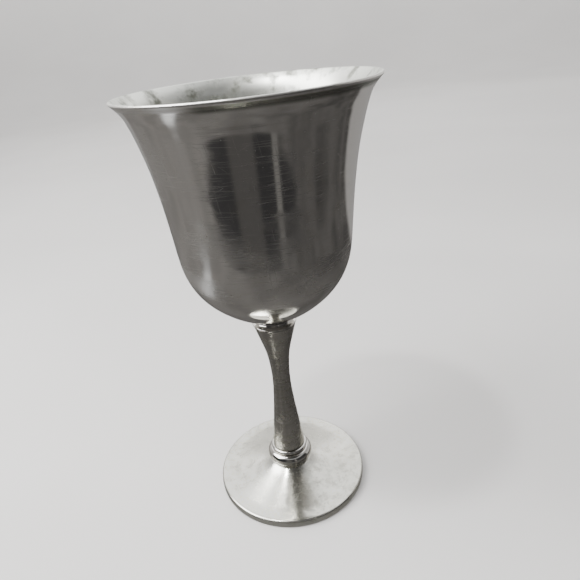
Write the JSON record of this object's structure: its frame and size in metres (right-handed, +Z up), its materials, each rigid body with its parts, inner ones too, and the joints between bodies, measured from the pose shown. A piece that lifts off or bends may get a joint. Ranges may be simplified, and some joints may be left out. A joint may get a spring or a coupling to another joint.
{
  "type": "communion chalice",
  "caption": "Silver-plated communion chalice: a tulip bowl with a flared lip on a slim waisted stem, with a polished neck collar, a bead and a shallow round foot.",
  "frame": {"origin": "centre of the foot, on the plane it stands on", "axes": "+Z up along the axis that every piece is turned about"},
  "size_m": [0.0858, 0.0858, 0.165],
  "materials": {
    "polished_silver": "mirror-polished silver plate with fine scratches",
    "satin_silver": "satin silver plate, lightly tarnished",
    "brass": "turned, unplated",
    "plated_steel": "zinc plated"
  },
  "bodies": {
    "root": {"bowl": "polished_silver", "bowl_boss": "brass", "neck_collar": "polished_silver", "stem": "satin_silver", "stem_ring": "polished_silver", "foot_bead": "polished_silver", "foot": "satin_silver", "foot_wire": "satin_silver", "tie_rod": "plated_steel", "dished_washer": "brass", "spring_washer": "plated_steel", "hex_nut": "brass"}
  },
  "joints": []
}
